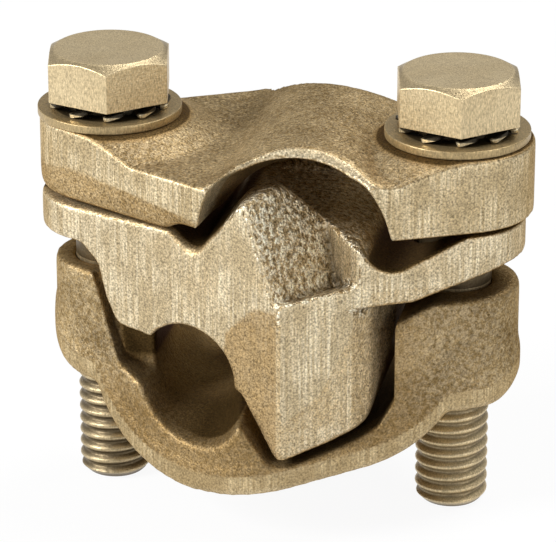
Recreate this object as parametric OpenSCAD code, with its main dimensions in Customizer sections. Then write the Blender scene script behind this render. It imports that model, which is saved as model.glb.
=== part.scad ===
// Two-bolt parallel clamp in cast bronze.
// Three castings on two hex bolts: an arched cap, a saddle that grips both
// conductors, and a tapped base. Millimetres, +Z up, Y along the conductors.
// The origin is on the axis of the lower conductor, at the middle of its groove.

/* [Conductors] */
// Radius of the lower conductor groove
groove_r = 5; // [4.6:0.1:5.4]
// Widening of the base's groove towards its front mouth, in degrees
groove_flare = 10.5; // [8:0.5:12]
// Widening of the saddle's hollow towards its front mouth, in degrees
hollow_flare = 4; // [2:0.5:8]
// Where the widening starts, in front of the bolt line
groove_flare_y = 6; // [5:0.5:8]
// Radius of the cap's arch over the upper conductor
arch_r = 10; // [9.8:0.1:10.4]
// Distance of the arch axis to the right of the groove axis
arch_x = 11.9; // [11:0.1:13]
// Depth of the arch axis below the cap's underside
arch_drop = 3.6; // [3:0.1:4.2]

/* [Stand of the loose clamp] */
// Height of the saddle above its seat in the base
saddle_open = 0.5; // [0.4:0.1:3]
// Gap between the saddle's wings and the cap
cap_open = 0.4; // [0.3:0.1:3]

/* [Bolts] */
// Distance between the two bolts
bolt_spacing = 38; // [37.4:0.2:42]
// Distance from the groove axis to the middle of the two bolts
bolt_shift = 7.9; // [7.4:0.1:8.2]
// Outside diameter of the thread
bolt_d = 7.94; // [7:0.02:8.2]
// Length of the bolt under its head
bolt_len = 44.45; // [42:0.05:56]
// Width of the head across its flats
head_af = 12.7; // [11:0.1:13.4]
// Height of the head
head_h = 5.1; // [4:0.1:6.5]
// Diameter of the flat circle on top of the head
head_flat_d = 11.7; // [9:0.1:12]
// Turn of the heads about their own axes, in degrees
head_turn = 11.5; // [0:0.5:59]
// Chamfer at the end of the stud
stud_chamfer = 0.8; // [0.2:0.1:1.4]
// Pitch of the thread, eighteen to the inch
thread_pitch = 1.411; // [1.2:0.001:1.6]
// Depth of the thread
thread_depth = 0.75; // [0.5:0.01:0.9]
// Number of thread ridges on the stud
thread_count = 18; // [14:1:22]

/* [Washers] */
// Outside diameter of the flat washers
flat_od = 15.6; // [14:0.1:15.8]
// Thickness of the flat washers
flat_t = 0.9; // [0.6:0.1:2]
// Outside diameter of the toothed lock washers
lock_od = 13.6; // [13:0.1:15]
// Thickness of the ring of the lock washers
lock_ring_t = 0.7; // [0.5:0.05:1]
// Number of teeth on a lock washer
lock_teeth = 10; // [8:1:12]
// Width of a tooth
tooth_w = 2.3; // [1.6:0.1:2.4]
// Twist of a tooth about its own radius
tooth_twist = 17; // [10:1:24]
// Thickness of a tooth
tooth_t = 0.55; // [0.4:0.05:0.7]

/* [Plan outlines] */
// Radius of the cap's left end about its bolt
cap_left_r = 7.6; // [7.4:0.1:9]
// Radius of the cap's right end about its bolt
cap_right_r = 8.3; // [7.4:0.1:9]
// Reach of the cap's noses from the bolt line
cap_nose = 17.3; // [16.4:0.1:19]
// Radius of the cap's noses
cap_nose_r = 11; // [6:0.5:13]
// Radius of the saddle's ends about the bolts
saddle_end_r = 7.5; // [7:0.1:8.4]
// Reach of the saddle's sharp noses from the bolt line
saddle_nose = 16.9; // [16.4:0.1:18]
// Distance of the saddle's noses to the right of the groove axis
saddle_nose_x = 11; // [10.6:0.1:11.4]
// Radius of the base's left end about its bolt
base_left_r = 6.2; // [6:0.1:7.4]
// Radius of the base's right end about its bolt
base_right_r = 7; // [6:0.1:8]
// Reach of the base's noses from the bolt line
base_nose = 17; // [16.4:0.1:18]
// Radius of the base's noses
base_nose_r = 9; // [6:0.5:12]

/* [Cap] */
// Thickness of the cap at its flange
flange_t = 6.2; // [5.4:0.1:7.4]
// Height of the bolt pads above the flange
pad_h = 2; // [1:0.1:2.6]
// Radius of the flat of a pad
pad_r = 8; // [7.9:0.1:9]
// Thickness of the wall over the arch
arch_wall = 3; // [2:0.1:3.6]
// Radius of the hollow between the hump and the flange
valley_r = 5; // [3:0.5:7]
// Rise of the arch's flared mouths, in degrees
flare_angle = 27; // [20:1:32]
// Length of the straight arch between its flares
throat_len = 16; // [14:0.5:18]
// Distance of the mouth's upper edge from the bolt line
mouth_y = 10.2; // [9:0.1:12]
// Lean of the ground mouths from upright, in degrees
mouth_lean = 50; // [40:1:58]
// Turn of the ground mouths to the right, in degrees
mouth_turn = 11; // [0:1:15]

/* [Saddle] */
// Thickness of the saddle's wings
wing_t = 4; // [3.4:0.1:5]
// Height of the ridge above the wings
ridge_h = 5.3; // [4.8:0.1:5.5]
// Height of the hook's hollow above the groove when the saddle is seated
hook_rise = 0.6; // [0.3:0.1:1]
// Depth of the seated wedge below the groove axis
wedge_depth = 6.9; // [6:0.1:7.2]
// Depth of the left valley beside the ridge
notch_depth = 1.6; // [1:0.1:2.2]
// Distance of the left valley to the left of the arch axis
notch_shift = 10.7; // [10.2:0.1:11.2]
// Distance of the ridge's crest to the left of the arch axis
crest_shift = 2.1; // [1.6:0.1:2.6]
// Turn of the ridge's front facets to the right, in degrees
facet_turn = 52; // [45:1:56]
// Lean of the ridge's front facets from upright, in degrees
facet_lean = 19; // [14:1:22]

/* [Base] */
// Height of the bolt lobes above the groove axis
lobe_top = 9.6; // [9:0.1:10]
// Depth of the bolt lobes below the groove axis
lobe_depth = 3.2; // [2.4:0.1:5]
// Thickness of the base round the groove
belly_wall = 6.7; // [6:0.1:7.4]
// Gap between the left lobe and the seated saddle's wing
wing_gap = 3.1; // [2.4:0.1:4]
// Height of the ground band along the lower rim
rim_h = 3.1; // [2:0.1:4]
// How far the ground band stands out
rim_out = 0.3; // [0.1:0.1:0.6]
// Least wall between a tapped hole and the groove or pocket
boss_wall = 0.75; // [0.5:0.05:0.9]

/* [Clearances] */
// Radial clearance of the saddle's hollow round the conductor
grip_clear = 0.05; // [0.02:0.01:0.15]
// Radial clearance of the bolts in the base
thread_clear = 0.05; // [0.02:0.01:0.1]
// Radial clearance of the bolts in the cap and the saddle
hole_clear = 0.4; // [0.3:0.05:0.6]
// Radial clearance of the washers round the bolts
washer_clear = 0.25; // [0.1:0.05:0.4]
// Gap under each piece that turns on a flat
face_clear = 0.05; // [0.02:0.01:0.2]
// Gap between the wedge and its pocket
pocket_clear = 0.6; // [0.5:0.05:0.9]

/* [Hidden] */
$fn = 96;
over = 60;
cast_colour = "#a58e5f";
ground_colour = "#b9a476";
bolt_colour = "#b39a63";

bolt_r = bolt_d / 2;
left_x = bolt_shift - bolt_spacing / 2;
right_x = bolt_shift + bolt_spacing / 2;

// Levels of the loose stack, from the lobes up to the bolt heads
wing_bottom = lobe_top + wing_gap + saddle_open;
wing_top = wing_bottom + wing_t;
cap_bottom = wing_top + cap_open;
arch_z = cap_bottom - arch_drop;
flange_top = cap_bottom + flange_t;
pad_top = flange_top + pad_h;
flat_top = pad_top + flat_t;
lock_t = tooth_w * sin(tooth_twist) + tooth_t * cos(tooth_twist);
seat_z = flat_top + lock_t + face_clear;

hump_r = arch_r + arch_wall;
boss_r = bolt_r + thread_clear + boss_wall;

// Right side of the wedge and the pocket wall beside the right bolt
pocket_right = right_x - boss_r;
wedge_right = pocket_right - pocket_clear;

// Outer side of the saddle's two hooks, and how near they come to the bolt line
hook_x = left_x + boss_r - 2.9;
hook_y = boss_r + 0.9;

// Left flank of the wedge where it meets the hollow over the conductor
flank_x = saddle_nose_x - 4.6;

// Points where the outer tangent of two circles touches them, on the right of a to b
function tangent(a, ra, b, rb) =
    let (
        d = b - a,
        len = norm(d),
        u = d / len,
        s = (ra - rb) / len,
        n = sqrt(1 - s * s) * [u.y, -u.x] + s * u
    )
    [a + ra * n, b + rb * n];

function unit(v) = v / norm(v);

// Points of an outline from its corners [x, z, radius], each rounded by a few chords
function filleted(corners, chords = 5) = [
    for (i = [0:len(corners) - 1])
        let (
            count = len(corners),
            before = corners[(i + count - 1) % count],
            after = corners[(i + 1) % count],
            p = [corners[i].x, corners[i].y],
            r = corners[i].z,
            u = unit([before.x, before.y] - p),
            v = unit([after.x, after.y] - p),
            half = acos(u * v) / 2,
            middle = p + unit(u + v) * r / sin(half),
            start = p + u * r / tan(half) - middle,
            turn = (u.x * v.y > u.y * v.x ? -1 : 1) * (180 - 2 * half)
        )
        if (r == 0) p
        else for (k = [0:chords])
            let (a = turn * k / chords)
            middle + [start.x * cos(a) - start.y * sin(a), start.x * sin(a) + start.y * cos(a)]
];

// Outline of a two-bolt flange: round ends about the bolts and a nose on each side
module flange_outline(left_r, right_r, nose_x, reach, nose_r) {
    centres = [[left_x, 0], [nose_x, nose_r - reach], [right_x, 0], [nose_x, reach - nose_r]];
    radii = [left_r, nose_r, right_r, nose_r];
    sides = [for (i = [0:3]) let (j = (i + 1) % 4) tangent(centres[i], radii[i], centres[j], radii[j])];
    polygon([for (side = sides, p = side) p]);
    for (i = [0:3]) translate(centres[i]) circle(radii[i]);
}

// An upright prism of a plan outline that is taller than the clamp
module upright() {
    translate([0, 0, -over / 2]) linear_extrude(2 * over) children();
}

// A front view carried along the conductors
module along() {
    rotate([90, 0, 0]) linear_extrude(over, center = true) children();
}

// A hole down both bolts
module bolt_holes(r) {
    for (x = [left_x, right_x])
        translate([x, 0, -over / 2]) cylinder(r = r, h = 2 * over);
}

// The same cut at the front and the back mouth
module both_mouths() {
    children();
    mirror([0, 1, 0]) children();
}

// Front view of the hollow that eases the hump into the flange, on one side
module valley_fillet() {
    dx = sqrt(pow(hump_r + valley_r, 2) - pow(flange_top + valley_r - arch_z, 2));
    difference() {
        polygon([[0, arch_z], [dx, flange_top + valley_r], [dx, cap_bottom], [0, cap_bottom]]);
        translate([dx, flange_top + valley_r]) circle(valley_r);
    }
}

// Front view of the cap: a flange with a round hump over the arch
module cap_section() {
    translate([-over, cap_bottom]) square([2 * over, flange_t]);
    translate([arch_x, arch_z]) circle(hump_r);
    translate([arch_x, 0]) {
        valley_fillet();
        mirror([1, 0]) valley_fillet();
    }
}

// Raised pad under a washer, with a sloping skirt
module pad(x) {
    skirt = pad_h * 2;
    translate([x, 0, flange_top]) cylinder(r1 = pad_r + skirt, r2 = pad_r, h = pad_h);
}

// Flare of the arch towards the front, a tilted copy of the arch itself
module arch_flare() {
    translate([arch_x, -throat_len / 2, arch_z])
        rotate([90 - flare_angle, 0, 0]) cylinder(r = arch_r, h = over);
}

// Leaning plane that the front mouth of the hump is ground to
module mouth_face() {
    translate([arch_x, -mouth_y, arch_z + hump_r])
        rotate([90 - mouth_lean, 0, mouth_turn])
            translate([0, 0, over / 2]) cube([2 * (hump_r + valley_r), over, over], center = true);
}

// Step under the cap's left tip, seen from the front
module tip_relief() {
    tip_x = arch_x - sqrt(pow(arch_r, 2) - pow(cap_bottom - arch_z, 2));
    relief_w = 4.4;
    relief_h = 1.2;
    polygon([
        [tip_x - relief_w, cap_bottom - 1], [tip_x - relief_w, cap_bottom],
        [tip_x - relief_w + 1.4, cap_bottom + relief_h],
        [tip_x + 1, cap_bottom + relief_h * 0.7], [tip_x + 1, cap_bottom - 1]
    ]);
}

module cap() {
    color(cast_colour) difference() {
        intersection() {
            upright() flange_outline(cap_left_r, cap_right_r, bolt_shift, cap_nose, cap_nose_r);
            union() {
                along() cap_section();
                pad(left_x);
                pad(right_x);
            }
            translate([-over, -over, cap_bottom]) cube(2 * over);
        }
        along() translate([arch_x, arch_z]) circle(arch_r);
        along() tip_relief();
        both_mouths() arch_flare();
        both_mouths() mouth_face();
        bolt_holes(bolt_r + hole_clear);
    }
}

// Round passage of the lower conductor, widened at its front mouth
module conductor(r, flare) {
    rotate([90, 0, 0]) cylinder(r = r, h = 2 * over, center = true);
    translate([0, -groove_flare_y, 0]) rotate([90, 0, 0])
        cylinder(r1 = r, r2 = r + over * tan(flare), h = over);
}

// Front view of the saddle: wings, ridge, wedge and the hook over the conductor
module saddle_section() {
    hollow_z = hook_rise + saddle_open;
    wedge_z = saddle_open - wedge_depth;
    crest_z = wing_top + ridge_h;
    shelf_z = wing_top + 0.2 * ridge_h;
    crest_x = arch_x - crest_shift;
    notch_x = arch_x - notch_shift;
    polygon(filleted([
        [-over, wing_top, 0],
        [notch_x - 2 * notch_depth, wing_top, 2],
        [notch_x, wing_top - notch_depth - 0.5, 1],
        [crest_x - 3.3, crest_z - 0.6, 2],
        [crest_x, crest_z + 0.3, 2],
        [crest_x + 4.4, shelf_z, 3],
        [crest_x + 8.8, shelf_z - 1.3, 2],
        [right_x - 5.7, wing_top - 3.8, 3],
        [right_x + 2.4, wing_top, 4],
        [over, wing_top, 0],
        [over, wing_bottom, 0],
        [right_x + 6.4, wing_bottom, 3],
        [wedge_right, wing_bottom - 3.8, 1],
        [wedge_right - 0.3, wing_bottom - 8.6, 8],
        [wedge_right - 2.2, wedge_z + 2.8, 1.8],
        [saddle_nose_x - 0.3, wedge_z - 0.2, 0.9],
        [flank_x, hollow_z - 0.6, 0],
        [0, hollow_z, 0],
        [-groove_r * cos(38), hollow_z + groove_r * sin(38), 0],
        [hook_x + 0.8, hollow_z + 3.6, 1.2],
        [hook_x - 0.6, hollow_z + 6.5, 3],
        [hook_x - 1.5, wing_bottom - 1.9, 1],
        [hook_x - 3.6, wing_bottom, 1],
        [-over, wing_bottom, 0]
    ]));
}

// Sloping right side of the wedge below the right wing, at the front
module wedge_side() {
    translate([0, 0, wing_bottom - 3 - over]) linear_extrude(over) polygon([
        [saddle_nose_x + 5.2, -over],
        [saddle_nose_x + 5.2, 2.8 - saddle_nose],
        [saddle_nose_x + 7, 4.2 - saddle_nose],
        [saddle_nose_x + 8.7, 6.5 - saddle_nose],
        [wedge_right - 0.7, 9.6 - saddle_nose],
        [wedge_right + 0.4, -3],
        [over, -3],
        [over, -over]
    ]);
}

// Rough hollow in the front of the ridge, on its right: a leaning facet and a side wall
module ridge_hollow() {
    wall_x = 7.1;
    intersection() {
        translate([saddle_nose_x - 0.2, 0.9 - saddle_nose, wing_top - 5.8])
            rotate([0, 0, facet_turn]) rotate([-facet_lean, 0, 0])
                translate([-over / 2, -over, 0]) cube(over);
        translate([saddle_nose_x + wall_x, 4.6 - saddle_nose, 0])
            rotate(facet_turn - 10) translate([-over, -over / 2, 0]) cube(over);
    }
}

// Relief across the ridge between its two ends, seen from the right
module ridge_relief() {
    top_y = 9.4;
    floor_y = 7.4;
    relief_h = 4.3;
    top_z = wing_top + ridge_h;
    rotate([90, 0, 90]) translate([0, 0, -over / 2]) linear_extrude(over * 2) polygon([
        [-top_y, top_z + 1], [-top_y, top_z], [-floor_y, top_z - relief_h],
        [floor_y, top_z - relief_h], [top_y, top_z], [top_y, top_z + 1]
    ]);
}

module saddle() {
    color(ground_colour) difference() {
        intersection() {
            upright() flange_outline(saddle_end_r, saddle_end_r, saddle_nose_x, saddle_nose, 0.6);
            along() saddle_section();
        }
        translate([0, 0, hook_rise + saddle_open]) conductor(groove_r + grip_clear, hollow_flare);
        translate([-over - flank_x / 2, -hook_y - hole_clear, -over])
            cube([over, 2 * (hook_y + hole_clear), over + wing_bottom]);
        both_mouths() wedge_side();
        both_mouths() ridge_hollow();
        ridge_relief();
        bolt_holes(bolt_r + hole_clear);
    }
}

// Front view of a lobe with a rounded lower corner, from its outer end inwards
module lobe_block(end_r, corner_r) {
    reach = end_r + rim_out;
    translate([-reach + corner_r, -lobe_depth + corner_r]) circle(corner_r);
    translate([-reach, -lobe_depth + corner_r]) square([2 * corner_r, lobe_top + lobe_depth - corner_r]);
    translate([-reach + corner_r, -lobe_depth]) square([reach, lobe_top + lobe_depth]);
}

// Front view of the base before its groove and pocket are cut
module base_block() {
    belly_r = groove_r + belly_wall;
    keel = [arch_x + 5.3, 3.5];
    keel_r = belly_r + 0.5;
    bottom = tangent([0, 0], belly_r, keel, keel_r);
    difference() {
        union() {
            circle(belly_r);
            translate(keel) circle(keel_r);
            polygon([[0, 0], bottom[0], bottom[1], keel]);
            translate([left_x, 0]) lobe_block(base_left_r, 5);
            translate([right_x, 0]) mirror([1, 0]) lobe_block(base_right_r, 3);
            translate([left_x, -lobe_depth]) square([bolt_spacing, lobe_depth + lobe_top]);
        }
        translate([-over, lobe_top]) square(2 * over);
    }
}

// Front view of the space left of the conductor that takes the saddle's hook
module hook_pocket() {
    polygon([
        [0, -1.6], [-groove_r - 0.4, -1.6], [hook_x + 0.9, 0],
        [hook_x - 0.2, 3], [hook_x - 1.3, 6.5], [hook_x - 2.8, lobe_top + 1], [0, lobe_top + 1]
    ]);
}

// Front view of the pocket that takes the wedge
module wedge_pocket() {
    floor_z = -wedge_depth - face_clear;
    polygon([
        [-groove_r, lobe_top + 1], [-groove_r, 0], [0, 0], [flank_x + 0.2, -2.6],
        [saddle_nose_x - 1.3, floor_z], [saddle_nose_x + 1.2, floor_z],
        [pocket_right - 3.8, floor_z + 1.9], [pocket_right - 1.6, floor_z + 3],
        [pocket_right, floor_z + 6], [pocket_right, lobe_top - 1.8],
        [right_x - 1.2, lobe_top], [right_x - 1.2, lobe_top + 1]
    ]);
}

module base() {
    color(cast_colour) difference() {
        union() {
            intersection() {
                upright() flange_outline(base_left_r, base_right_r, bolt_shift, base_nose, base_nose_r);
                along() base_block();
            }
            intersection() {
                upright() flange_outline(
                    base_left_r + rim_out, base_right_r + rim_out,
                    bolt_shift, base_nose + rim_out, base_nose_r + rim_out
                );
                along() difference() {
                    base_block();
                    translate([0, rim_h]) base_block();
                    translate([-over, lobe_top - rim_h]) square(2 * over);
                }
            }
        }
        conductor(groove_r, groove_flare);
        difference() {
            along() hook_pocket();
            translate([-over, -hook_y, -over]) cube([2 * over, 2 * hook_y, 2 * over]);
        }
        along() wedge_pocket();
        bolt_holes(bolt_r + thread_clear);
    }
}

// Half section of the stud: a chamfered end, the ridges of the thread and a plain shank
module stud_profile() {
    root_r = bolt_r - thread_depth;
    first_z = stud_chamfer - bolt_len;
    polygon([
        [0, -bolt_len], [bolt_r - stud_chamfer, -bolt_len],
        for (i = [0:thread_count - 1])
            let (z = first_z + i * thread_pitch)
            each [[bolt_r, z], [root_r, z + thread_pitch / 2]],
        [bolt_r, first_z + thread_count * thread_pitch], [bolt_r, 0], [0, 0]
    ]);
}

// Hex bolt with a chamfered head and a threaded stud
module bolt(x) {
    corner_r = head_af / 2 / cos(30);
    cone_r = corner_r + 1;
    cone_h = (cone_r - head_flat_d / 2) * tan(30);
    color(bolt_colour) translate([x, 0, seat_z]) {
        intersection() {
            rotate(30 + head_turn) cylinder(r = corner_r, h = head_h, $fn = 6);
            union() {
                translate([0, 0, -1]) cylinder(r = cone_r, h = head_h - cone_h + 1);
                translate([0, 0, head_h - cone_h])
                    cylinder(r1 = cone_r, r2 = head_flat_d / 2, h = cone_h);
            }
        }
        rotate_extrude() stud_profile();
    }
}

module flat_washer(x) {
    color(bolt_colour) translate([x, 0, pad_top]) difference() {
        cylinder(d = flat_od, h = flat_t);
        translate([0, 0, -1]) cylinder(r = bolt_r + washer_clear, h = flat_t + 2);
    }
}

// External-tooth lock washer: a thin ring with twisted teeth
module lock_washer(x) {
    ring_w = 1;
    inner_r = bolt_r + washer_clear;
    tooth_len = lock_od / 2 - inner_r - ring_w / 2;
    color(bolt_colour) translate([x, 0, flat_top + lock_t / 2]) difference() {
        union() {
            cylinder(r = inner_r + ring_w, h = lock_ring_t, center = true);
            for (i = [0:lock_teeth - 1])
                rotate(i * 360 / lock_teeth)
                    translate([inner_r + ring_w / 2 + tooth_len / 2, 0, 0])
                        rotate([tooth_twist, 0, 0])
                            cube([tooth_len, tooth_w, tooth_t], center = true);
        }
        cylinder(r = inner_r, h = 4, center = true);
    }
}

module bolt_left() { bolt(left_x); }
module bolt_right() { bolt(right_x); }
module flat_washer_left() { flat_washer(left_x); }
module flat_washer_right() { flat_washer(right_x); }
module lock_washer_left() { lock_washer(left_x); }
module lock_washer_right() { lock_washer(right_x); }

cap();
saddle();
base();
bolt_left();
bolt_right();
flat_washer_left();
flat_washer_right();
lock_washer_left();
lock_washer_right();
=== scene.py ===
import logging
import math
from dataclasses import dataclass
from enum import Enum
from typing import Any

import bmesh
import bpy
import numpy as np
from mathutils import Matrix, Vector


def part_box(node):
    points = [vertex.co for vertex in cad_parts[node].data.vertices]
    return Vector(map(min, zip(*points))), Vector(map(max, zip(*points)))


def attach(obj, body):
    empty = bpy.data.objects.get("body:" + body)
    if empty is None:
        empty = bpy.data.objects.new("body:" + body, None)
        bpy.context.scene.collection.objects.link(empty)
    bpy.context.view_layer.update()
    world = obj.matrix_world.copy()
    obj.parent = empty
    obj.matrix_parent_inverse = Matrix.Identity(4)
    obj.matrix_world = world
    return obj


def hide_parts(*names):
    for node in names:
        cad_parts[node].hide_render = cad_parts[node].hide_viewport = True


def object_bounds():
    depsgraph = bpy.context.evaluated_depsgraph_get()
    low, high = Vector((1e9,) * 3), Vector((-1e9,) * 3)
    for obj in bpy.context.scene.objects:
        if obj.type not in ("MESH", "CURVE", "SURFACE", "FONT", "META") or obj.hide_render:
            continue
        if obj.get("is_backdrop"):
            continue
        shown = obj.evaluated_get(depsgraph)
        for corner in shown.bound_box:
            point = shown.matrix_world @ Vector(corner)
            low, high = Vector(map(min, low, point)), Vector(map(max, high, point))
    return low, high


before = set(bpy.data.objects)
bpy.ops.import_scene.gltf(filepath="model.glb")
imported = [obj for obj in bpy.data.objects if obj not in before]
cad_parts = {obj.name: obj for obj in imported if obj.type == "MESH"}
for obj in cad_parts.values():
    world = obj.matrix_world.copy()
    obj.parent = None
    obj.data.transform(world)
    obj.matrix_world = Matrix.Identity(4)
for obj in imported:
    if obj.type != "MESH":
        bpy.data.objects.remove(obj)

log = logging.getLogger("clamp")

Array = np.ndarray
Object = bpy.types.Object
Socket = bpy.types.NodeSocket
Colour = tuple[float, float, float, float]
# Values at which a share is 0 and 1
Span = tuple[float, float]
# Start and end of a smooth step, and the height that it rises to
Step = tuple[float, float, float]

MM = 0.001
WHITE: Colour = (1.0, 1.0, 1.0, 1.0)
# Metres within which points are one, in a finished piece and along the seams of a CAD node
PIECE_SEAM = 1e-7
NODE_SEAM = 1e-6
# Middle of a noise that runs from 0 to 1
NOISE_MEAN = 0.5
# Edge mark of a flat face, where 0 is a crevice and 1 is an edge
FLAT_MARK = 0.5
# Upward part of a normal over which a face turns level, and over which it turns upright
LEVEL: Span = (0.2, 0.7)
UPRIGHT: Span = (0.5, 0.3)
# Radians from the middle of a hexagon's flat to its corner
CORNER = math.pi / 6


class Side(Enum):
    """The two ends of the clamp, each with its own bolt."""

    LEFT = "left"
    RIGHT = "right"


# Edge mark of each thread's crests: the left stud's is lower, painting it darker as shade from the base
THREAD_CREST = {Side.LEFT: 0.27, Side.RIGHT: 0.45}


@dataclass(frozen=True)
class Noise:
    """Fractal noise: patterns per millimetre along each axis, octaves and strength of the finer ones."""

    per_mm: tuple[float, float, float]
    octaves: float
    rough: float


class Nodes:
    """Node tree that is filled one node at a time."""

    def __init__(self, tree: bpy.types.NodeTree) -> None:
        """Takes the tree to fill."""
        self.tree = tree

    def join(self, value: Any, socket: Socket) -> None:
        """Sets an input socket to a plain value, or links it to an output socket.

        Args:
            value: The value or the output socket.
            socket: The input socket.
        """
        if isinstance(value, Socket):
            self.tree.links.new(value, socket)
        else:
            socket.default_value = value

    def add(self, kind: str, inputs: dict[Any, Any] | None = None, **values: Any) -> bpy.types.Node:
        """Adds one node.

        Args:
            kind: Blender's name of the node.
            inputs: Socket name or number to a plain value or to an output socket.
            **values: Properties of the node.

        Returns:
            The new node.
        """
        node = self.tree.nodes.new(kind)
        for key, value in values.items():
            setattr(node, key, value)
        for key, value in (inputs or {}).items():
            self.join(value, node.inputs[key])
        return node

    def math(self, operation: str, *values: Any) -> Socket:
        """Result of one of Blender's operations on numbers or sockets."""
        return self.add("ShaderNodeMath", dict(enumerate(values)), operation=operation).outputs[0]

    def times(self, first: Any, second: Any) -> Socket:
        """Product of two numbers or sockets."""
        return self.math("MULTIPLY", first, second)

    def line(self, value: Any, gain: Any, base: Any) -> Socket:
        """A value times a gain, plus a base."""
        return self.math("MULTIPLY_ADD", value, gain, base)

    def seen_rays(self) -> Socket:
        """One for camera, glossy and transmission rays, and nought for the rest.

        Returns:
            The share's socket.
        """
        rays = self.add("ShaderNodeLightPath").outputs
        seen = self.math("MAXIMUM", rays["Is Camera Ray"], rays["Is Glossy Ray"])
        return self.math("MAXIMUM", seen, rays["Is Transmission Ray"])


class Graph(Nodes):
    """Nodes of one material, with a Principled shader at the end."""

    def __init__(self, name: str) -> None:
        """Starts an empty material.

        Args:
            name: Name of the material.
        """
        self.material = bpy.data.materials.new(name)
        self.material.use_nodes = True
        super().__init__(self.material.node_tree)
        self.tree.nodes.clear()
        self.shader = self.add("ShaderNodeBsdfPrincipled")
        self.output = self.add("ShaderNodeOutputMaterial", {"Surface": self.shader.outputs["BSDF"]})
        self.coords = self.add("ShaderNodeTexCoord").outputs["Object"]

    def noise(self, kind: Noise) -> Socket:
        """Noise from 0 to 1 over the object's own coordinates.

        Args:
            kind: What the noise is like.

        Returns:
            The noise's value socket.
        """
        factors = [count / MM for count in kind.per_mm]
        place = self.add("ShaderNodeMapping", {"Vector": self.coords, "Scale": factors}).outputs["Vector"]
        inputs = {"Vector": place, "Scale": 1.0, "Detail": kind.octaves, "Roughness": kind.rough}
        return self.add("ShaderNodeTexNoise", inputs).outputs["Fac"]

    def ramp(self, value: Socket, start: float, end: float, height: float = 1.0) -> Socket:
        """Smooth step of a value, from 0 at the start to the height at the end."""
        inputs = {"Value": value, "From Min": start, "From Max": end, "To Max": height}
        return self.add("ShaderNodeMapRange", inputs, interpolation_type="SMOOTHSTEP").outputs["Result"]

    def blend(self, factor: Any, first: Any, second: Any, mode: str = "MIX") -> Socket:
        """Mix of two colours by the second one's share. The node's colour sockets go by number."""
        inputs = {0: factor, 6: first, 7: second}
        return self.add("ShaderNodeMix", inputs, data_type="RGBA", blend_type=mode).outputs[2]

    def attribute(self, name: str) -> Socket:
        """Value of a piece's own attribute."""
        return self.add("ShaderNodeAttribute", attribute_name=name).outputs["Fac"]

    def bump(self, height: Socket, depth_mm: float) -> None:
        """Joins a height to the shader's normal, with the depth that a height of 1 stands for."""
        node = self.add("ShaderNodeBump", {"Height": height, "Strength": 1.0, "Distance": depth_mm * MM})
        self.set("Normal", node.outputs["Normal"])

    def set(self, name: str, value: Any) -> None:
        """Sets or links one input of the shader."""
        self.join(value, self.shader.inputs[name])


def tone(red: int, green: int, blue: int) -> Colour:
    """Linear colour of a screen colour, by the standard curve: straight near black, then a power of 2.4.

    Args:
        red: Red from 0 to 255.
        green: Green from 0 to 255.
        blue: Blue from 0 to 255.

    Returns:
        The colour with full cover.
    """
    screen = np.array([red, green, blue]) / 255.0
    linear = np.where(screen <= 0.04045, screen / 12.92, ((screen + 0.055) / 1.055) ** 2.4)
    return (*linear.tolist(), 1.0)


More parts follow.
